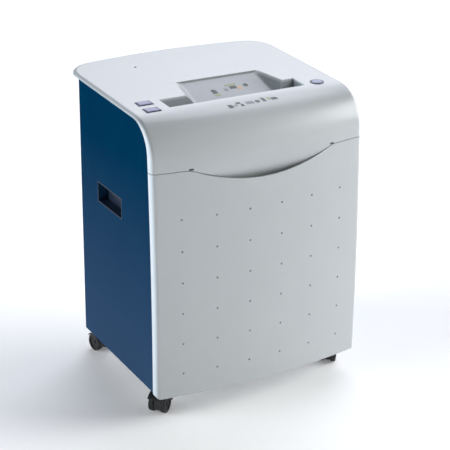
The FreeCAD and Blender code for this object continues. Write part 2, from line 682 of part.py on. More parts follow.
def make_idler():
    large = gear(IDLER_LARGE_TEETH, PINION_MODULE, PINION_X[0], PINION_X[1], IDLER_Y, SHAFT_Z)
    small = gear(IDLER_SMALL_TEETH, DRIVE_MODULE, DRIVE_X[0], PINION_X[0], IDLER_Y, SHAFT_Z,
                 math.pi / IDLER_SMALL_TEETH + math.pi)
    return cut(join([large, small]), rod_x(100, 200, IDLER_Y, SHAFT_Z, 4.0 + RUN_GAP))


def make_gearbox_cover():
    """Cover over the gears, screwed to the right cutter frame."""
    x0 = HEAD_X + HEAD_T
    outer = box(x0, GEARBOX_X, -128, 46, BEAM_TOP_Z, 475)
    outer = outer.makeFillet(8.0, [e for e in outer.Edges if abs(e.Vertexes[0].X - e.Vertexes[1].X) > 5])
    inner = box(x0 - 1, GEARBOX_X - 2, -126, 44, BEAM_TOP_Z + 1.2, 473)
    pin = rod_x(x0 + 8, GEARBOX_X - 2, IDLER_Y, SHAFT_Z, 4.0)
    return join([cut(outer, inner), pin])


def make_throat():
    """Guide under the slot that leads the sheet between the cutters."""
    high = RECESS_FLOOR_Z - SHELL
    low = 456.0
    outer = box(-SLOT_HALF - 4, SLOT_HALF + 4, SLOT_Y - 8, SLOT_Y + 8, low, high)
    inner = box(-SLOT_HALF, SLOT_HALF, SLOT_Y - SLOT_HALF_WIDTH, SLOT_Y + SLOT_HALF_WIDTH, low - 1, high + 1)
    return cut(outer, inner)


def make_chute():
    y0, y1 = BEAM_FRONT_Y[1], SHELF_Y[0]
    outer = box(-HEAD_X + 2, HEAD_X - 2, y0, y1, BEAM_TOP_Z - 16, BEAM_TOP_Z + 6)
    inner = box(-HEAD_X + 3.5, HEAD_X - 3.5, y0 + 1.5, y1 - 1.5, BEAM_TOP_Z - 20, BEAM_TOP_Z + 10)
    return cut(outer, inner)


# ---- electrics -------------------------------------------------------------------------------
def make_control_board():
    board = box(-150.0, -148.4, -24, 60, BEAM_TOP_Z + 6, 472)
    parts = [box(-148.4, -138, -14, 8, 410, 430), box(-148.4, -141, 16, 30, 408, 426),
             rod_x(-148.4, -134, 44, 420, 8), box(-148.4, -132, -10, 14, 440, 462)]
    feet = [box(-156, -150, y, y + 8, BEAM_TOP_Z, BEAM_TOP_Z + 14) for y in (-20, 48)]
    return join([board] + parts + feet)


def make_key_board(x0, x1, y0, y1, keys):
    board = box(x0, x1, y0, y1, KEY_BOARD_Z - 1.6, KEY_BOARD_Z)
    switches = [box(x - 3, x + 3, y - 3, y + 3, KEY_BOARD_Z, KEY_BOARD_Z + 3.5) for x, y in keys]
    return join([board] + switches)


def make_capacitor():
    can = rod_x(-100, -30, 40, BEAM_TOP_Z + 17.2, 17)
    clip = box(-80, -50, 26, 54, BEAM_TOP_Z, BEAM_TOP_Z + 6)
    return join([can, clip])


def make_interlock_switch():
    y0, y1 = BEAM_FRONT_Y
    body = box(SWITCH_X - 11, SWITCH_X + 11, y0, y1, SWITCH_Z - 9, BEAM_TOP_Z - 14)
    bore = rod_y(y0 - 1, y0 + 12, SWITCH_X, SWITCH_Z, PLUNGER_R + RUN_GAP)
    return cut(body, bore)


def make_plunger():
    return rod_y(DOOR_BACK_Y + DRAWER_PLATE_T + 0.3, BEAM_FRONT_Y[0] + 8, SWITCH_X, SWITCH_Z, PLUNGER_R)


def make_sensor():
    return box(60, 74, SLOT_Y + 8, SLOT_Y + 16, 458, RECESS_FLOOR_Z - SHELL - 2)


# ---- controls in the top ------------------------------------------------------------------------
def make_rect_bezels():
    rings = []
    w, d = RECT_BEZEL
    cw, cd = RECT_CAP
    for x, y in RECT_BUTTONS.values():
        top = top_z(x, y) + BEZEL_PROUD
        outer = box(x - w / 2, x + w / 2, y - d / 2, y + d / 2, BEZEL_FOOT_Z, top)
        upper = [e for e in outer.Edges if min(v.Z for v in e.Vertexes) > top - 0.01]
        outer = outer.makeChamfer(0.5, upper)
        inner = box(x - cw / 2 - KEY_GAP, x + cw / 2 + KEY_GAP, y - cd / 2 - KEY_GAP, y + cd / 2 + KEY_GAP,
                    BEZEL_FOOT_Z - 1, top + 1)
        rings.append(outer.cut(inner))
    return Part.makeCompound(rings)


def make_rect_button(x, y):
    w, d = RECT_CAP
    top = top_z(x, y) + CAP_PROUD
    cap = box(x - w / 2, x + w / 2, y - d / 2, y + d / 2, BEZEL_FOOT_Z - 2, top)
    upper = [e for e in cap.Edges if min(v.Z for v in e.Vertexes) > top - 0.01]
    cap = cap.makeFillet(0.8, upper)
    flange = box(x - w / 2 - 1.5, x + w / 2 + 1.5, y - d / 2 - 1.5, y + d / 2 + 1.5,
                 BEZEL_FOOT_Z - 1.6, BEZEL_FOOT_Z - 0.1)
    stem = rod_z(KEY_STEM_Z, BEZEL_FOOT_Z - 1.5, x, y, 2.5)
    return join([cap, flange, stem])


def upper_circles(shape, top):
    return [e for e in shape.Edges if e.Vertexes[0].Z > top - 0.01 and len(e.Vertexes) == 1]


def make_power_bezel():
    x, y = POWER_POS
    top = top_z(x, y) + BEZEL_PROUD
    outer = rod_z(BEZEL_FOOT_Z, top, x, y, POWER_BEZEL_R)
    outer = outer.makeFillet(0.6, upper_circles(outer, top))
    return cut(outer, rod_z(BEZEL_FOOT_Z - 1, top + 1, x, y, POWER_CAP_R + KEY_GAP))


def make_power_button():
    x, y = POWER_POS
    top = top_z(x, y) + CAP_PROUD
    cap = rod_z(BEZEL_FOOT_Z - 2, top, x, y, POWER_CAP_R)
    cap = cap.makeFillet(1.0, upper_circles(cap, top))
    flange = rod_z(BEZEL_FOOT_Z - 1.6, BEZEL_FOOT_Z - 0.1, x, y, POWER_CAP_R + 1.5)
    stem = rod_z(KEY_STEM_Z, BEZEL_FOOT_Z - 1.5, x, y, 2.5)
    return join([cap, flange, stem])


def make_lamp():
    x, y = LAMP_POS
    high = top_z(x, y)
    return join([rod_z(high - 5, high + 0.3, x, y, 2.0), rod_z(high - 5, high - 3.2, x, y, 3.0)])


# ---- drawer -------------------------------------------------------------------------------------
def make_drawer_frame():
    """Bent steel frame behind the drawer front: front plate, two arms and a rear bar."""
    y0 = DOOR_BACK_Y
    arm_x = BIN_HALF + 4.0
    z0, z1 = RUNNER_Z
    plate = box(-arm_x - 2, arm_x + 2, y0, y0 + DRAWER_PLATE_T, 50, DRAWER_TOP_Z)
    arms = [box(x, x + 2, y0, RUNNER_Y[1], 52, z1 + 8) for x in (-arm_x - 2, arm_x)]
    rear = box(-arm_x, arm_x, RUNNER_Y[1] - 1.5, RUNNER_Y[1], 52, z1 + 8)
    shelf = [box(x, x + 24, y0, RUNNER_Y[1], 52, 53.5) for x in (-arm_x, arm_x - 24)]
    holes = [rod_y(y0 - 5, y0 + 5, x, z, 5.0) for x in (-120, 0, 120) for z in (120, 220, 320)]
    return cut(join([plate] + arms + [rear] + shelf), *holes)


def make_bin():
    y0, y1 = BIN_Y
    z0, z1 = 53.5, BIN_TOP_Z
    outer = box(-BIN_HALF, BIN_HALF, y0, y1, z0, z1)
    outer = outer.makeFillet(14.0, [e for e in outer.Edges if abs(e.Vertexes[0].Z - e.Vertexes[1].Z) > 5])
    t = BIN_WALL
    inner = box(-BIN_HALF + t, BIN_HALF - t, y0 + t, y1 - t, z0 + t, z1 + 1)
    inner = inner.makeFillet(14.0 - t, [e for e in inner.Edges if abs(e.Vertexes[0].Z - e.Vertexes[1].Z) > 5])
    grips = [box(-45, 45, y - 8, y + 8, z1 - 34, z1 - 14) for y in (y0, y1)]
    return cut(outer, inner, *grips)


def make_runner(sign):
    """Moving half of a drawer slide, fixed to the frame's arm."""
    z0, z1 = RUNNER_Z
    x0 = BIN_HALF + 6.0
    bar = box(x0, x0 + 12, RUNNER_Y[0], RUNNER_Y[1], z0 + 3, z1 - 3)
    bar = cut(bar, box(x0 + 2, x0 + 13, RUNNER_Y[0] - 1, RUNNER_Y[1] + 1, z0 + 6, z1 - 6))
    return bar if sign > 0 else mirror_x(bar)


def make_rail(sign):
    """Fixed half of a drawer slide: a channel that faces the bin."""
    z0, z1 = RUNNER_Z
    x0 = BIN_HALF + 9.0
    outer = box(x0, WALL_X - 2.1, RAIL_Y[0], RAIL_Y[1], z0, z1)
    inner = box(x0 - 1, x0 + 10.0, RAIL_Y[0] - 1, RAIL_Y[1] + 1, z0 + 2.6, z1 - 2.6)
    foot = box(x0 + 8, WALL_X - 2.1, RAIL_Y[0] + 20, RAIL_Y[1] - 20, CABINET_Z + SHEET, z0)
    rail = join([cut(outer, inner), foot])
    return rail if sign > 0 else mirror_x(rail)


# ---- casters ------------------------------------------------------------------------------------
def place_caster(shape, x, y, heading):
    shape.rotate(V(0, 0, 0), Z_DIR, heading)
    shape.translate(V(x, y, 0))
    return shape


def make_caster_socket():
    """Bush in the base that holds the stem."""
    disc = rod_z(CABINET_Z - 3, CABINET_Z, 0, 0, 12)
    sleeve = rod_z(CABINET_Z - 3, CABINET_Z + 6, 0, 0, 7.9)
    return cut(join([disc, sleeve]), rod_z(CABINET_Z - 5, CABINET_Z + 12, 0, 0, 4.0 + RUN_GAP))


def make_caster_fork():
    """Hooded fork with its stem; the wheels trail along +X."""
    web_half = WHEEL_GAP / 2 - 0.3
    width = WHEEL_GAP + 2 * WHEEL_W + 2 * 0.3 + 2
    half = width / 2
    web = rod_y(-web_half, web_half, TRAIL, WHEEL_R, HOOD_R - 4)
    neck = rod_z(24, CABINET_Z - 3.4, 0, 0, 8)
    hood = rod_y(-half, half, TRAIL, WHEEL_R, HOOD_R)
    hollow = rod_y(-half - 1, half + 1, TRAIL, WHEEL_R, WHEEL_R + 0.6)
    lower = box(-40, 80, -30, 30, -10, WHEEL_R - 1)
    shade = cut(hood, hollow, lower, box(TRAIL + 5, 80, -30, 30, -10, WHEEL_R + 10))
    bridge = box(-2, TRAIL, -web_half, web_half, WHEEL_R - 4, HOOD_R + WHEEL_R - 2)
    clear = [rod_y(sign * (WHEEL_GAP / 2 + WHEEL_W / 2) - WHEEL_W / 2 - 0.3,
                   sign * (WHEEL_GAP / 2 + WHEEL_W / 2) + WHEEL_W / 2 + 0.3, TRAIL, WHEEL_R, WHEEL_R + 0.6)
             for sign in (-1, 1)]
    stem = rod_z(CABINET_Z - 3.4, CABINET_Z + 5.5, 0, 0, 4.0)
    body = join([web, neck, shade, bridge])
    body = cut(body, *clear)
    body = cut(body, rod_y(-30, 30, TRAIL, WHEEL_R, 3.0 + RUN_GAP), box(-60, 90, -40, 40, -20, FORK_FOOT_Z))
    return keep_largest(join([body, stem]))


def make_caster_wheels():
    """Two wheels fixed on one axle."""
    axle = rod_y(-WHEEL_GAP / 2 - 2, WHEEL_GAP / 2 + 2, TRAIL, WHEEL_R, 3.0)
    pieces = [axle]
    for sign in (-1, 1):
        y0 = sign * (WHEEL_GAP / 2 + WHEEL_W / 2) - WHEEL_W / 2
        wheel = rod_y(y0, y0 + WHEEL_W, TRAIL, WHEEL_R, WHEEL_R)
        rims = [e for e in wheel.Edges if len(e.Vertexes) == 1]
        wheel = wheel.makeFillet(1.6, rims)
        outer_y = y0 + WHEEL_W if sign > 0 else y0
        dish = rod_y(outer_y - 1.5, outer_y + 1.5, TRAIL, WHEEL_R, WHEEL_R - 5)
        pieces.append(wheel.cut(dish).fuse(rod_y(y0, y0 + WHEEL_W - 0.4, TRAIL, WHEEL_R, 4)))
    return join(pieces)


# ---- fasteners ------------------------------------------------------------------------------------
def make_cabinet_screws():
    """Screws that hold the back panel and the side panels' flanges together."""
    screws = []
    for x in (-BACK_SCREW_X, BACK_SCREW_X):
        for z in BACK_SCREW_Z:
            head = rod_y(BACK_Y, BACK_Y + 1.4, x, z, 4.0)
            screws.append(join([head, rod_y(BACK_Y - 6, BACK_Y, x, z, 1.95)]))
    return Part.makeCompound(screws)


def main():
    os.makedirs("parts", exist_ok=True)
    outer = envelope(0.0, EDGE_R)
    inner = envelope(SHELL, EDGE_R - SHELL)
    save("top_cover", make_top_cover(outer, inner))
    save("drawer_front", make_drawer_front(outer, inner))
    left_panel = make_side_panel()
    save("left_side_panel", left_panel)
    save("right_side_panel", mirror_x(left_panel))
    left_grip = make_grip_cup()
    save("left_grip_cup", left_grip)
    save("right_grip_cup", mirror_x(left_grip))
    save("base_tray", make_base_tray())
    save("back_panel", make_back_panel())
    save("power_inlet", make_power_inlet())
    save("thermal_breaker", make_breaker())
    save("front_beam", make_front_beam())
    save("motor_shelf", make_motor_shelf())
    save("left_cutter_frame", make_head_frame(-HEAD_X - HEAD_T))
    right_frame = make_head_frame(HEAD_X).cut(rod_x(HEAD_X - 1, HEAD_X + 9, MOTOR_Y, SHAFT_Z, 6.0))
    save("right_cutter_frame", right_frame)
    save("cutter_tie_rods", make_tie_rods())
    save("shaft_bushes", make_bushes())
    save("front_cutter", make_cutter(FRONT_SHAFT_Y, 0.0, -134.0, 144.0))
    save("rear_cutter", make_cutter(REAR_SHAFT_Y, DISC_PITCH / 2, -134.0, 154.0))
    save("front_stripper_comb", make_comb(-127.0, FRONT_SHAFT_Y - CORE_R - 0.6, 0.0))
    save("rear_stripper_comb", make_comb(-30.0, REAR_SHAFT_Y + CORE_R + 0.6, DISC_PITCH / 2))
    timing = gear(TIMING_TEETH, TIMING_MODULE, TIMING_X[0], TIMING_X[1], FRONT_SHAFT_Y, SHAFT_Z)
    save("front_timing_gear", timing.cut(rod_x(100, 200, FRONT_SHAFT_Y, SHAFT_Z, JOURNAL_R)))
    timing = gear(TIMING_TEETH, TIMING_MODULE, TIMING_X[0], TIMING_X[1], REAR_SHAFT_Y, SHAFT_Z,
                  math.pi / TIMING_TEETH)
    save("rear_timing_gear", timing.cut(rod_x(100, 200, REAR_SHAFT_Y, SHAFT_Z, JOURNAL_R)))
    drive = gear(DRIVE_TEETH, DRIVE_MODULE, DRIVE_X[0], DRIVE_X[1], REAR_SHAFT_Y, SHAFT_Z)
    save("drive_gear", drive.cut(rod_x(100, 200, REAR_SHAFT_Y, SHAFT_Z, JOURNAL_R)))
    save("idler_gear", make_idler())
    save("motor_rotor", make_rotor())
    save("motor_fan", make_fan())
    save("motor_body", make_motor())
    save("motor_mount", make_motor_mount())
    save("gearbox_cover", make_gearbox_cover())
    save("feed_throat", make_throat())
    save("chip_chute", make_chute())
    save("control_board", make_control_board())
    keys = list(RECT_BUTTONS.values())
    save("key_board", make_key_board(-172, -136, -104, -42, keys))
    save("power_switch_board", make_key_board(138, 164, -98, -70, [POWER_POS]))
    save("run_capacitor", make_capacitor())
    save("interlock_switch", make_interlock_switch())
    save("interlock_plunger", make_plunger())
    save("paper_sensor", make_sensor())
    save("button_bezels", make_rect_bezels())
    for name, (x, y) in RECT_BUTTONS.items():
        save(name, make_rect_button(x, y))
    save("power_bezel", make_power_bezel())
    save("power_button", make_power_button())
    save("status_lamp", make_lamp())
    save("drawer_frame", make_drawer_frame())
    save("waste_bin", make_bin())
    for name, sign in (("left", -1), ("right", 1)):
        save(name + "_drawer_runner", make_runner(sign))
        save(name + "_drawer_rail", make_rail(sign))
    sockets = []
    for name, (x, y, heading) in CASTERS.items():
        save("caster_fork_" + name, place_caster(make_caster_fork(), x, y, heading))
        save("caster_wheels_" + name, place_caster(make_caster_wheels(), x, y, heading))
        sockets.append(place_caster(make_caster_socket(), x, y, 0.0))
    save("caster_sockets", Part.makeCompound(sockets))
    save("cabinet_screws", make_cabinet_screws())


main()
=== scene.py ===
import json
import math

import bmesh
import bpy
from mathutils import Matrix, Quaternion, Vector
from mathutils.bvhtree import BVHTree


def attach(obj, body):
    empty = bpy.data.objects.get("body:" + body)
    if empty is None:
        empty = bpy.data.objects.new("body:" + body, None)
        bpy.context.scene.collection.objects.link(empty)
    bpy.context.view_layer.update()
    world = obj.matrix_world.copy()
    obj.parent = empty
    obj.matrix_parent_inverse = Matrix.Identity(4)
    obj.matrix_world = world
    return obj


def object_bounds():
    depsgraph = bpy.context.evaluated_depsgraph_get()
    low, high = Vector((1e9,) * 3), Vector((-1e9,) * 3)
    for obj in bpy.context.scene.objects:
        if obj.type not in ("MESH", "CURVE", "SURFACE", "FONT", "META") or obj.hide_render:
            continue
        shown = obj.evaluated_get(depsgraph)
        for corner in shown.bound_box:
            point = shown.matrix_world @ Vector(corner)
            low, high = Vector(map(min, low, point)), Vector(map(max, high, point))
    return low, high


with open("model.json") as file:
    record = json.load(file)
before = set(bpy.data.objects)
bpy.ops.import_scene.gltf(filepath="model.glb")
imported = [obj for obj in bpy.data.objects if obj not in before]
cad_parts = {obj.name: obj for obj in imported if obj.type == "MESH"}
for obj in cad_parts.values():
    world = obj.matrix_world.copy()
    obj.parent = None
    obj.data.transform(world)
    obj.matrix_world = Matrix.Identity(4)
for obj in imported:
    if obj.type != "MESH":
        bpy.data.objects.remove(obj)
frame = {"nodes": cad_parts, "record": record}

CAD_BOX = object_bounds()
MM = 0.001

# Camera: angles in degrees round the object, the rest in metres
CAMERA_AZIMUTH = -29.93
CAMERA_ELEVATION = 23.235
CAMERA_ROLL = 0.80
CAMERA_DISTANCE = 2.3757
CAMERA_AIM = Vector((0.0184, -0.0125, 0.2458))
CAMERA_LENS = 112.39

# The top surface, in metres: its height at y = 0 and its slope
TOP_MIDDLE_Z = 0.5007
TOP_SLOPE = 0.033

# The feed recess: the box it lies in, and the depths between which its painted shade comes in
RECESS_X = (-0.128, 0.142)
RECESS_Y = (-0.092, 0.017)
RECESS_LEAST_DEPTH = 0.0003
RECESS_SHADE_FADE = (0.0004, 0.004)

# Where painted shade darkens the shell in front of the recess and lightens again, in y: it stands in for
# the shade on the forward-tilting nose
BROW_SHADE_REAR = (-0.084, -0.106)
BROW_SHADE_FRONT = (-0.112, -0.150)

# How much of a surface's direction lies along x where the painted light on the shell's sides begins
SIDE_LIGHT_FADE = (0.55, 0.95)

# Heights between which the blue panels turn lighter: painted reflection of the floor, with a little dust
DUST_AND_REFLECTION_Z = (0.42, 0.04)

# The dimples in the drawer front: spacing and one middle in x, z; their reach, and the part they are in
DIMPLE_PITCH = (0.058, 0.0526)
DIMPLE_FIRST = (0.029, 0.081)
DIMPLE_REACH = 0.0019
DIMPLED_Y = -0.14
DIMPLED_TOP = 0.347

# Printed marks, in millimetres: the middles of the two rows, the ink's foot and its thickness
RAMP_ROW = (17.0, -20.0)
FRONT_ROW = (4.0, -115.0)
INK_FOOT = -0.1
INK_THICKNESS = 0.22

FLOOR_RADIUS = 9.0
FLOOR_GAP = 0.0001


def direction(azimuth, elevation):
    """Unit vector from the object towards a viewer; azimuth 0 is in front of it."""
    a = math.radians(azimuth)
    e = math.radians(elevation)
    return Vector((math.sin(a) * math.cos(e), -math.cos(a) * math.cos(e), math.sin(e)))


def make_camera():
    """The camera, first of all and set as the scene's own."""
    data = bpy.data.cameras.new("camera")
    data.lens = CAMERA_LENS
    camera = bpy.data.objects.new("camera", data)
    back = direction(CAMERA_AZIMUTH, CAMERA_ELEVATION)
    camera.location = CAMERA_AIM + back * CAMERA_DISTANCE
    camera.rotation_mode = "QUATERNION"
    roll = Quaternion((0, 0, 1), math.radians(CAMERA_ROLL))
    camera.rotation_quaternion = (-back).to_track_quat("-Z", "Y") @ roll
    bpy.context.scene.collection.objects.link(camera)
    bpy.context.scene.camera = camera


# ---------------------------------------------------------------- materials

def principled(name, colour, roughness, **sockets):
    """A node material with one Principled shader; sockets are its other constant inputs."""
    material = bpy.data.materials.new(name)
    material.use_nodes = True
    shader = material.node_tree.nodes["Principled BSDF"]
    shader.inputs["Base Color"].default_value = (*colour, 1.0)
    shader.inputs["Roughness"].default_value = roughness
    for socket, value in sockets.items():
        shader.inputs[socket.replace("_", " ")].default_value = value
    material.diffuse_color = (*colour, 1.0)
    return material


def shader_of(material):
    return material.node_tree.nodes["Principled BSDF"]


def coordinates(material, stretch=(1.0, 1.0, 1.0)):
    """The piece's own coordinates in metres, stretched."""
    tree = material.node_tree
    source = tree.nodes.new("ShaderNodeTexCoord")
    mapping = tree.nodes.new("ShaderNodeMapping")
    mapping.inputs["Scale"].default_value = stretch
    tree.links.new(source.outputs["Object"], mapping.inputs["Vector"])
    return mapping.outputs["Vector"]


def noise(material, size, detail=3.0, stretch=(1.0, 1.0, 1.0)):
    """Cloudy noise from 0 to 1 whose spots are about size metres wide."""
    tree = material.node_tree
    node = tree.nodes.new("ShaderNodeTexNoise")
    node.inputs["Scale"].default_value = 1.0 / size
    node.inputs["Detail"].default_value = detail
    tree.links.new(coordinates(material, stretch), node.inputs["Vector"])
    return node.outputs["Fac"]


def cells(material, size, output="Distance", feature="F1"):
    """Cells about size metres wide: the distance to their centres, or a colour for each."""
    tree = material.node_tree
    node = tree.nodes.new("ShaderNodeTexVoronoi")
    node.feature = feature
    node.inputs["Scale"].default_value = 1.0 / size
    tree.links.new(coordinates(material), node.inputs["Vector"])
    return node.outputs[output]


def spread(material, value, low, high, start=0.3, end=0.7):
    """A number that goes from low to high as value goes from start to end."""
    tree = material.node_tree
    node = tree.nodes.new("ShaderNodeMapRange")
    node.inputs["From Min"].default_value = start
    node.inputs["From Max"].default_value = end
    node.inputs["To Min"].default_value = low
    node.inputs["To Max"].default_value = high
    tree.links.new(value, node.inputs["Value"])
    return node.outputs["Result"]


def mix(material, factor, first, second):
    """Two colours mixed by a factor that varies over the surface; each is a tuple or an output."""
    tree = material.node_tree
    node = tree.nodes.new("ShaderNodeMix")
    node.data_type = "RGBA"
    tree.links.new(factor, node.inputs["Factor"])
    for socket, colour in (("A", first), ("B", second)):
        target = [s for s in node.inputs if s.name == socket and s.type == "RGBA"][0]
        if isinstance(colour, tuple):
            target.default_value = (*colour, 1.0)
        else:
            tree.links.new(colour, target)
    return [s for s in node.outputs if s.type == "RGBA"][0]


def colour_by(material, value):
    material.node_tree.links.new(value, shader_of(material).inputs["Base Color"])


def roughness_by(material, value):
    material.node_tree.links.new(value, shader_of(material).inputs["Roughness"])


def relief(material, value, depth):
    """Adds a bump of that depth in metres."""
    tree = material.node_tree
    shader = shader_of(material)
    node = tree.nodes.new("ShaderNodeBump")
    node.inputs["Strength"].default_value = 1.0
    node.inputs["Distance"].default_value = depth
    tree.links.new(value, node.inputs["Height"])
    if shader.inputs["Normal"].is_linked:
        tree.links.new(shader.inputs["Normal"].links[0].from_socket, node.inputs["Normal"])
    tree.links.new(node.outputs["Normal"], shader.inputs["Normal"])


def components(material, vector):
    """The x, y and z of a vector, as the outputs of one node."""
    split = material.node_tree.nodes.new("ShaderNodeSeparateXYZ")
    material.node_tree.links.new(vector, split.inputs["Vector"])
    return split.outputs


def calculate(material, operation, *values):
    """One Math node over outputs and constants."""
    tree = material.node_tree
    node = tree.nodes.new("ShaderNodeMath")
    node.operation = operation
    for socket, value in zip(node.inputs, values):
        if isinstance(value, float):
            socket.default_value = value
        else:
            tree.links.new(value, socket)
    return node.outputs["Value"]


def height(material, low, high):
    """0 at the height low and 1 at the height high, in metres above the floor."""
    return spread(material, components(material, coordinates(material))["Z"], 0.0, 1.0, low, high)


def side_light(material):
    """1 where the surface faces left or right, 0 where it faces up or to the front; it places the light
    painted onto the shell's sides.
    """
    source = material.node_tree.nodes.new("ShaderNodeTexCoord")
    along_x = calculate(material, "ABSOLUTE", components(material, source.outputs["Normal"])["X"])
    return spread(material, along_x, 0.0, 1.0, *SIDE_LIGHT_FADE)


def brow_shade(material):
    """1 along the strip between the feed recess and the nose, where the shell gets painted shade; 0 behind
    and in front of it.
    """
    y = components(material, coordinates(material))["Y"]
    coming = spread(material, y, 0.0, 1.0, *BROW_SHADE_REAR)
    going = spread(material, y, 1.0, 0.0, *BROW_SHADE_FRONT)
    return calculate(material, "MULTIPLY", coming, going)


def under_top(material, shallow, deep):
    """0 at that depth in metres under the sloping top, 1 at the second depth."""
    place = components(material, coordinates(material))
    level = calculate(material, "MULTIPLY_ADD", place["Y"], -TOP_SLOPE, place["Z"])
    return spread(material, level, 0.0, 1.0, TOP_MIDDLE_Z - shallow, TOP_MIDDLE_Z - deep)


def pearl_shell(name="pearl_shell", shaded_recess=False):
    """Silvery white paint with fine metal flake and a soft orange peel; the recess option adds painted
    shade, a darker grey, in the feed recess.
    """
    m = principled(name, (0.49, 0.51, 0.515), 0.38, Coat_Weight=0.25, Coat_Roughness=0.22)
    cloud = spread(m, noise(m, 0.09), 0.0, 1.0)
    body = mix(m, cloud, (0.48, 0.50, 0.51), (0.495, 0.515, 0.525))
    # painted shade: the strip in front of the feed recess is darkened, standing in for the shade of the
    # nose
    body = mix(m, brow_shade(m), body, (0.32, 0.335, 0.345))
    # painted light: surfaces of the shell that face left or right are made lighter and bluer, as if lit
    # from the sides
    body = mix(m, side_light(m), body, (0.72, 0.80, 0.86))
    # painted shade: the feed recess under the top is darkened to grey
    if shaded_recess:
        body = mix(m, under_top(m, *RECESS_SHADE_FADE), body, (0.215, 0.235, 0.255))
    flake = spread(m, cells(m, 0.0007, "Color"), 0.0, 0.10, 0.2, 1.0)
    colour_by(m, mix(m, flake, body, (0.86, 0.90, 0.96)))
    roughness_by(m, spread(m, noise(m, 0.004), 0.34, 0.42))
    relief(m, noise(m, 0.0022, 2.0), 0.00002)
    return m


def blue_panel():
    """Petrol blue powder coat: a pebbled skin, lighter towards the floor from a painted floor reflection
    and a little dust.
    """
    m = principled("blue_panel", (0.001, 0.026, 0.070), 0.5, Specular_IOR_Level=0.0)
    cloud = spread(m, noise(m, 0.05), 0.0, 1.0)
    body = mix(m, cloud, (0.0004, 0.031, 0.078), (0.0008, 0.035, 0.087))
    # lighter towards the floor: painted reflection of the floor, with a little dust
    colour_by(m, mix(m, height(m, *DUST_AND_REFLECTION_Z), body, (0.036, 0.074, 0.148)))
    roughness_by(m, spread(m, noise(m, 0.006), 0.36, 0.48))
    relief(m, cells(m, 0.0012), 0.00006)
    return m


def moulding(name, low, high, roughness, grain=0.0007, depth=0.00004, **sockets):
    """Moulded plastic in a colour between low and high, with a spark-eroded grain."""
    m = principled(name, low, roughness, **sockets)
    colour_by(m, mix(m, spread(m, noise(m, 0.02), 0.0, 1.0), low, high))
    roughness_by(m, spread(m, noise(m, 0.005), roughness - 0.06, roughness + 0.06))
    relief(m, noise(m, grain, 2.0), depth)
    return m


def sheet_paint(name, low, high):
    """Thin sprayed paint on sheet metal."""
    m = principled(name, low, 0.5)
    colour_by(m, mix(m, spread(m, noise(m, 0.03), 0.0, 1.0), low, high))
    roughness_by(m, spread(m, noise(m, 0.01), 0.42, 0.58))
    relief(m, noise(m, 0.0015, 2.0), 0.00003)
    return m


def worked_metal(name, low, high, roughness, lines=(1.0, 1.0, 1.0), **sockets):
    """Bare or plated metal with fine working marks drawn out along one axis."""
    m = principled(name, low, roughness, Metallic=1.0, **sockets)
    marks = noise(m, 0.0012, 4.0, lines)
    colour_by(m, mix(m, spread(m, noise(m, 0.012), 0.0, 1.0), low, high))
    roughness_by(m, spread(m, marks, roughness - 0.08, roughness + 0.10))
    relief(m, marks, 0.00002)
    return m


def tyre():
    """Dark polyurethane tread, scuffed grey in patches."""
    m = principled("wheel_rubber", (0.015, 0.015, 0.016), 0.6)
    scuff = spread(m, noise(m, 0.004, 5.0), 0.0, 1.0, 0.52, 0.75)
    colour_by(m, mix(m, scuff, (0.006, 0.006, 0.007), (0.022, 0.021, 0.020)))
    roughness_by(m, spread(m, noise(m, 0.002), 0.5, 0.75))
    relief(m, noise(m, 0.0006, 2.0), 0.00005)
    return m


def circuit_board():
    """Green solder mask with faint copper runs under it."""
    m = principled("circuit_board", (0.02, 0.13, 0.05), 0.35)
    runs = spread(m, cells(m, 0.006, "Distance", "DISTANCE_TO_EDGE"), 1.0, 0.0, 0.03, 0.08)
    colour_by(m, mix(m, runs, (0.012, 0.095, 0.035), (0.05, 0.21, 0.09)))
    roughness_by(m, spread(m, noise(m, 0.004), 0.28, 0.42))
    relief(m, runs, 0.00004)
    return m


def smoke_lens():
    """Dark translucent plastic, polished."""
    m = principled("smoke_lens", (0.03, 0.03, 0.05), 0.08, Transmission_Weight=0.4, IOR=1.49)
    colour_by(m, mix(m, spread(m, noise(m, 0.001), 0.0, 1.0), (0.02, 0.02, 0.035), (0.05, 0.05, 0.08)))
    roughness_by(m, spread(m, noise(m, 0.0005), 0.06, 0.14))
    return m


def ink(name, colour):
    """Printed ink, a little uneven."""
    m = principled(name, colour, 0.45)
    pale = tuple(c * 0.8 + 0.03 for c in colour)
    colour_by(m, mix(m, spread(m, noise(m, 0.0015), 0.0, 0.3), colour, pale))
    roughness_by(m, spread(m, noise(m, 0.002), 0.38, 0.52))
    return m


# the shell with painted shade in the feed recess
RECESS_SHADE_LOOK = pearl_shell("pearl_recess_shade", shaded_recess=True)
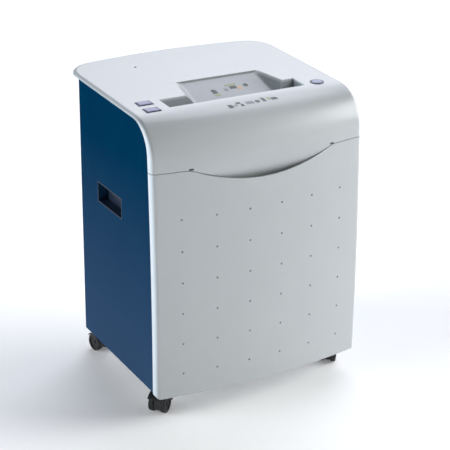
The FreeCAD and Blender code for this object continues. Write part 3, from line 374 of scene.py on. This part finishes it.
# painted shade: the dimples in the drawer front are coloured dark grey for the shade in their hollows
DIMPLE_SHADE_LOOK = moulding("dimple_shade", (0.20, 0.21, 0.22), (0.27, 0.28, 0.29), 0.5)
LOOKS = {
    "pearl_shell": pearl_shell(),
    "blue_panel": blue_panel(),
    # painted shade: the grip cups are dark navy where their hollows lie in shadow; their real colour is the
    # panel's blue
    "dark_cup": moulding("dark_cup", (0.002, 0.012, 0.034), (0.004, 0.018, 0.046), 0.5),
    "grey_sheet": sheet_paint("grey_sheet", (0.36, 0.38, 0.40), (0.41, 0.43, 0.45)),
    "zinc_steel": worked_metal("zinc_steel", (0.50, 0.52, 0.54), (0.62, 0.63, 0.64), 0.36),
    "cutter_steel": worked_metal("cutter_steel", (0.34, 0.34, 0.35), (0.46, 0.46, 0.46), 0.30,
                                 (0.1, 1.0, 1.0)),
    "bronze_bush": worked_metal("bronze_bush", (0.52, 0.34, 0.15), (0.64, 0.45, 0.22), 0.40),
    "black_plastic": moulding("black_plastic", (0.006, 0.006, 0.007), (0.011, 0.011, 0.012), 0.45),
    "wheel_rubber": tyre(),
    "motor_paint": sheet_paint("motor_paint", (0.030, 0.031, 0.034), (0.045, 0.046, 0.050)),
    "capacitor_can": worked_metal("capacitor_can", (0.66, 0.67, 0.69), (0.76, 0.77, 0.79), 0.28,
                                  (1.0, 1.0, 0.08)),
    "circuit_board": circuit_board(),
    "navy_bezel": moulding("navy_bezel", (0.010, 0.012, 0.065), (0.016, 0.019, 0.09), 0.28),
    "lavender_key": moulding("lavender_key", (0.26, 0.28, 0.42), (0.31, 0.33, 0.48), 0.38),
    "smoke_lens": smoke_lens(),
}


def dress_cad():
    """Gives every CAD node the look of its material slot."""
    for part in frame["record"]["subparts"]:
        mesh = frame["nodes"][part["node"]].data
        mesh.materials.clear()
        mesh.materials.append(LOOKS[part["material_slot"]])
    # painted shade: the faces in the feed recess get the darkened shell
    repaint("top_cover", RECESS_SHADE_LOOK, in_recess)
    # painted shade in the drawer front's dimples
    repaint("drawer_front", DIMPLE_SHADE_LOOK, in_dimple)
    # painted shade: each grip cup stays dark navy for the shadow in its hollow, except its ends and
    # ceiling, which get the panel's blue
    for cup in ("left_grip_cup", "right_grip_cup"):
        repaint(cup, LOOKS["blue_panel"], upright_end)


def repaint(node, look, chosen):
    """Gives that look to the chosen polygons of a CAD node."""
    mesh = frame["nodes"][node].data
    mesh.materials.append(look)
    for polygon in mesh.polygons:
        if chosen(polygon):
            polygon.material_index = 1


def in_recess(polygon):
    """True in the feed recess, under the top surface."""
    c = polygon.center
    in_box = RECESS_X[0] < c.x < RECESS_X[1] and RECESS_Y[0] < c.y < RECESS_Y[1]
    return in_box and c.z < TOP_MIDDLE_Z + TOP_SLOPE * c.y - RECESS_LEAST_DEPTH


def in_dimple(polygon):
    """True in a dimple of the drawer front."""
    c = polygon.center
    steps = [(p - first) / pitch for p, first, pitch in zip((c.x, c.z), DIMPLE_FIRST, DIMPLE_PITCH)]
    away = [(step - round(step)) * pitch for step, pitch in zip(steps, DIMPLE_PITCH)]
    return c.y < DIMPLED_Y and c.z < DIMPLED_TOP and math.hypot(*away) < DIMPLE_REACH


def upright_end(polygon):
    """True on the ends of a grip cup and under its ceiling."""
    return abs(polygon.normal.y) > 0.7 or polygon.normal.z < -0.7


# ---------------------------------------------------------------- printed marks

def surface_of(node):
    """A tree for finding points on a CAD node's surface."""
    mesh = frame["nodes"][node].data
    return BVHTree.FromPolygons([v.co for v in mesh.vertices], [p.vertices for p in mesh.polygons])


def bar(width, depth):
    """A rectangle about the origin, in millimetres."""
    return [(i * width / 2, j * depth / 2) for i, j in ((-1, -1), (1, -1), (1, 1), (-1, 1))]


def disc(radius, count=16):
    """A circle about the origin, in millimetres."""
    turns = [2 * math.pi * i / count for i in range(count)]
    return [(radius * math.cos(turn), radius * math.sin(turn)) for turn in turns]


def folded_sheet(width, depth):
    """A sheet of paper with a folded corner, in millimetres."""
    corners = ((-0.5, -0.5), (0.5, -0.5), (0.5, 0.2), (0.2, 0.5), (-0.5, 0.5))
    return [(a * width, b * depth) for a, b in corners]


def add_prism(shape, outline):
    """A closed prism from z = 0 to z = 1 over an outline of (x, y) points."""
    low = [shape.verts.new((x, y, 0)) for x, y in outline]
    high = [shape.verts.new((x, y, 1)) for x, y in outline]
    shape.faces.new(high)
    shape.faces.new(low[::-1])
    for i in range(len(outline)):
        j = (i + 1) % len(outline)
        shape.faces.new((low[i], low[j], high[j], high[i]))


def lay_on(cover, vertex):
    """Moves a prism's point to the cover: z = 0 to the ink's foot, z = 1 to its face."""
    above = Vector((vertex.co.x, vertex.co.y, CAD_BOX[1].z + 0.01))
    foot = cover.ray_cast(above, Vector((0, 0, -1)))[0]
    vertex.co.z = foot.z + (INK_THICKNESS * vertex.co.z + INK_FOOT) * MM


def print_ink(name, row, patches, look, cover):
    """Thin patches on the cover; each is (x, y, outline), in millimetres from the middle of the row."""
    mesh = bpy.data.meshes.new(name)
    shape = bmesh.new()
    for x, y, outline in patches:
        add_prism(shape, [((row[0] + x + a) * MM, (row[1] + y + b) * MM) for a, b in outline])
    bmesh.ops.triangulate(shape, faces=shape.faces)
    bmesh.ops.subdivide_edges(shape, edges=shape.edges, cuts=3, use_grid_fill=True)
    for vertex in shape.verts:
        lay_on(cover, vertex)
    shape.to_mesh(mesh)
    shape.free()
    mesh.materials.append(look)
    piece = bpy.data.objects.new(name, mesh)
    bpy.context.scene.collection.objects.link(piece)
    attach(piece, "cabinet")


def print_marks():
    """Plain pictograms: one row on the feed ramp, one in front of the trough."""
    cover = surface_of("top_cover")
    dark = ink("ink_dark", (0.012, 0.018, 0.010))
    grey = ink("ink_grey", (0.16, 0.17, 0.19))
    olive = ink("ink_olive", (0.24, 0.27, 0.10))
    amber = ink("ink_amber", (0.50, 0.34, 0.20))
    print_ink("ramp_marks_dark", RAMP_ROW,
              [(-28, -3, folded_sheet(9, 12)), (9, 1, bar(12, 8)), (33, 2, disc(4.5))], dark, cover)
    print_ink("ramp_marks_olive", RAMP_ROW, [(-27, -14, bar(11, 5)), (8, 9, bar(20, 4))], olive, cover)
    print_ink("ramp_marks_grey", RAMP_ROW, [(-6, -3, disc(4))], grey, cover)
    print_ink("ramp_marks_amber", RAMP_ROW, [(20, -3, bar(8, 10))], amber, cover)
    print_ink("front_marks_dark", FRONT_ROW,
              [(-39, -3, folded_sheet(8, 10)), (-23, 3, bar(8, 6)), (-19, -5, bar(5, 6)),
               (10, -1, disc(4.5)), (22, 2, bar(6, 14)), (41, 0, folded_sheet(11, 8))], dark, cover)
    print_ink("front_marks_grey", FRONT_ROW, [(-30, -3, bar(6, 5)), (-4, -1, bar(14, 9))], grey, cover)
    print_ink("front_marks_olive", FRONT_ROW, [(32, 2, bar(5, 9))], olive, cover)


# ---------------------------------------------------------------- studio

def soft_sun(name, azimuth, elevation, strength, spread_angle, colour):
    """A distant light that comes from all over a disc of the sky, spread_angle degrees wide."""
    data = bpy.data.lights.new(name, "SUN")
    data.energy = strength
    data.angle = math.radians(spread_angle)
    data.color = colour
    light = bpy.data.objects.new(name, data)
    toward = direction(azimuth, elevation)
    light.location = toward * 2.0
    light.rotation_mode = "QUATERNION"
    light.rotation_quaternion = (-toward).to_track_quat("-Z", "Y")
    bpy.context.scene.collection.objects.link(light)


def make_floor():
    """A pale floor that glows a little, so that it stays white round the object."""
    mesh = bpy.data.meshes.new("floor")
    shape = bmesh.new()
    bmesh.ops.create_circle(shape, cap_ends=True, segments=96, radius=FLOOR_RADIUS)
    shape.to_mesh(mesh)
    shape.free()
    floor = bpy.data.objects.new("floor", mesh)
    floor.location.z = CAD_BOX[0].z - FLOOR_GAP
    m = principled("floor_paper", (0.93, 0.93, 0.94), 0.9,
                   Emission_Color=(1, 1, 1, 1), Emission_Strength=0.16)
    colour_by(m, mix(m, noise(m, 0.5), (0.93, 0.93, 0.94), (0.95, 0.95, 0.955)))
    mesh.materials.append(m)
    bpy.context.scene.collection.objects.link(floor)


def make_studio():
    """Four soft lights, named for the side they come from, a dim sky and the floor."""
    world = bpy.data.worlds.new("studio")
    world.use_nodes = True
    background = world.node_tree.nodes["Background"]
    background.inputs["Color"].default_value = (0.95, 0.98, 1.0, 1.0)
    background.inputs["Strength"].default_value = 0.04
    bpy.context.scene.world = world
    bpy.context.scene.view_settings.view_transform = "Standard"
    soft_sun("rear_right", 140, 40, 1.76, 50, (0.95, 0.97, 1.08))
    soft_sun("right", 72, 20, 3.45, 40, (0.98, 1.0, 0.99))
    soft_sun("front", 35, 15, 0.35, 40, (1.0, 1.0, 1.0))
    soft_sun("left_rear", -104, 16, 2.1, 40, (0.94, 1.0, 1.04))
    make_floor()


make_camera()
dress_cad()
print_marks()
make_studio()
